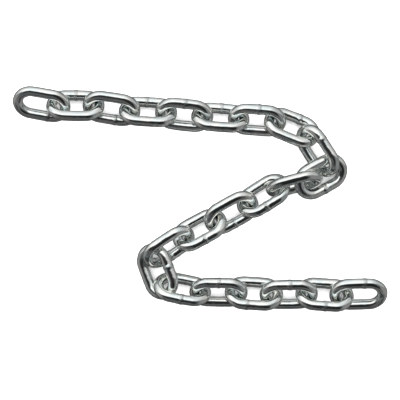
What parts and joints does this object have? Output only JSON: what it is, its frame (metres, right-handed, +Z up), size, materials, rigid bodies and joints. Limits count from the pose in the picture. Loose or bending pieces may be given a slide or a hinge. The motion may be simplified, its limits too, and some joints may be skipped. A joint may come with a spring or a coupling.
{
  "type": "length of steel chain",
  "caption": "Short length of welded short-link steel chain, bright zinc plated, laid flat on a floor in a Z of three runs.",
  "frame": {"origin": "on the floor under the middle of the chain as it lies", "axes": "+X along the long top and bottom runs, from the first link towards the last link, +Y from the bottom run to the top run, +Z up"},
  "size_m": [0.2548, 0.1527, 0.0242],
  "materials": {
    "zinc_plated_steel": "bright zinc plate"
  },
  "bodies": {
    "link_01": {"link_01": "zinc_plated_steel"},
    "link_02": {"link_02": "zinc_plated_steel"},
    "link_03": {"link_03": "zinc_plated_steel"},
    "link_04": {"link_04": "zinc_plated_steel"},
    "link_05": {"link_05": "zinc_plated_steel"},
    "link_06": {"link_06": "zinc_plated_steel"},
    "link_07": {"link_07": "zinc_plated_steel"},
    "link_08": {"link_08": "zinc_plated_steel"},
    "link_09": {"link_09": "zinc_plated_steel"},
    "link_10": {"link_10": "zinc_plated_steel"},
    "link_11": {"link_11": "zinc_plated_steel"},
    "link_12": {"link_12": "zinc_plated_steel"},
    "link_13": {"link_13": "zinc_plated_steel"},
    "link_14": {"link_14": "zinc_plated_steel"},
    "link_15": {"link_15": "zinc_plated_steel"},
    "link_16": {"link_16": "zinc_plated_steel"},
    "link_17": {"link_17": "zinc_plated_steel"},
    "link_18": {"link_18": "zinc_plated_steel"},
    "link_19": {"link_19": "zinc_plated_steel"},
    "link_20": {"link_20": "zinc_plated_steel"},
    "link_21": {"link_21": "zinc_plated_steel"},
    "link_22": {"link_22": "zinc_plated_steel"}
  },
  "joints": [
    {"name": "swing_11", "type": "hinge", "parent": "link_12", "child": "link_11", "pos_m": [0.05723, 0.01001, 0.00969], "axis": [0.3033, -0.7317, 0.6104], "range_deg": [-88, 17]},
    {"name": "swing_10", "type": "hinge", "parent": "link_11", "child": "link_10", "pos_m": [0.07861, 0.0155, 0.01554], "axis": [0.4622, -0.1876, -0.8667], "range_deg": [-6, 0]},
    {"name": "swing_09", "type": "hinge", "parent": "link_10", "child": "link_09", "pos_m": [0.08811, 0.0274, 0.00905], "axis": [-0.9466, -0.1048, 0.3048], "range_deg": [-88, 6]},
    {"name": "swing_08", "type": "hinge", "parent": "link_09", "child": "link_08", "pos_m": [0.07482, 0.04685, 0.01431], "axis": [-0.7681, 0.2271, -0.5988], "range_deg": [-15, 19]},
    {"name": "swing_07", "type": "hinge", "parent": "link_08", "child": "link_07", "pos_m": [0.04827, 0.05628, 0.00738], "axis": [-0.5327, -0.6276, 0.5678], "range_deg": [-51, 17]},
    {"name": "swing_06", "type": "hinge", "parent": "link_07", "child": "link_06", "pos_m": [0.02254, 0.05575, 0.0101], "axis": [0.1888, 0.7357, 0.6504], "range_deg": [-88, 77]},
    {"name": "swing_05", "type": "hinge", "parent": "link_06", "child": "link_05", "pos_m": [-0.00207, 0.05813, 0.00816], "axis": [0.3116, 0.6606, -0.683], "range_deg": [-49, 88]},
    {"name": "swing_04", "type": "hinge", "parent": "link_05", "child": "link_04", "pos_m": [-0.02607, 0.06156, 0.01108], "axis": [-0.4626, -0.68, -0.5688], "range_deg": [-27, 61]},
    {"name": "swing_03", "type": "hinge", "parent": "link_04", "child": "link_03", "pos_m": [-0.05126, 0.06187, 0.00791], "axis": [-0.3022, -0.7007, 0.6463], "range_deg": [-88, 19]},
    {"name": "swing_02", "type": "hinge", "parent": "link_03", "child": "link_02", "pos_m": [-0.0753, 0.0666, 0.01108], "axis": [0.4919, 0.6592, 0.5688], "range_deg": [-59, 17]},
    {"name": "swing_01", "type": "hinge", "parent": "link_02", "child": "link_01", "pos_m": [-0.09191, 0.06066, 0.00816], "axis": [0.266, 0.7571, 0.5967], "range_deg": [-15, 87]},
    {"name": "swing_13", "type": "hinge", "parent": "link_12", "child": "link_13", "pos_m": [0.03435, 0.00012, 0.01009], "axis": [-0.6052, 0.558, 0.5678], "range_deg": [-88, 6]},
    {"name": "swing_14", "type": "hinge", "parent": "link_13", "child": "link_14", "pos_m": [0.01122, -0.01079, 0.0063], "axis": [0.7605, -0.3529, 0.545], "range_deg": [-53, 11]},
    {"name": "swing_15", "type": "hinge", "parent": "link_14", "child": "link_15", "pos_m": [-0.01473, -0.02882, 0.0091], "axis": [0.3708, -0.683, 0.6293], "range_deg": [-88, 88]},
    {"name": "swing_16", "type": "hinge", "parent": "link_15", "child": "link_16", "pos_m": [-0.03444, -0.04218, 0.00943], "axis": [-0.4646, 0.4553, 0.7595], "range_deg": [-7, 8]},
    {"name": "swing_17", "type": "hinge", "parent": "link_16", "child": "link_17", "pos_m": [-0.02145, -0.0637, 0.00859], "axis": [-0.7155, -0.5438, -0.4385], "range_deg": [-6, 17]},
    {"name": "swing_18", "type": "hinge", "parent": "link_17", "child": "link_18", "pos_m": [0.00382, -0.06426, 0.00979], "axis": [-0.1289, -0.6953, 0.7071], "range_deg": [-88, 88]},
    {"name": "swing_19", "type": "hinge", "parent": "link_18", "child": "link_19", "pos_m": [0.02186, -0.06786, 0.01151], "axis": [-0.5675, 0.6937, -0.4436], "range_deg": [-23, 27]},
    {"name": "swing_20", "type": "hinge", "parent": "link_19", "child": "link_20", "pos_m": [0.04739, -0.07015, 0.00475], "axis": [-0.7972, 0.4383, 0.4152], "range_deg": [-11, 19]},
    {"name": "swing_21", "type": "hinge", "parent": "link_20", "child": "link_21", "pos_m": [0.07581, -0.06723, 0.00725], "axis": [0.3768, 0.679, 0.6301], "range_deg": [-79, 27]},
    {"name": "swing_22", "type": "hinge", "parent": "link_21", "child": "link_22", "pos_m": [0.10034, -0.06802, 0.00993], "axis": [0.3134, 0.7713, -0.554], "range_deg": [-15, 88]}
  ]
}
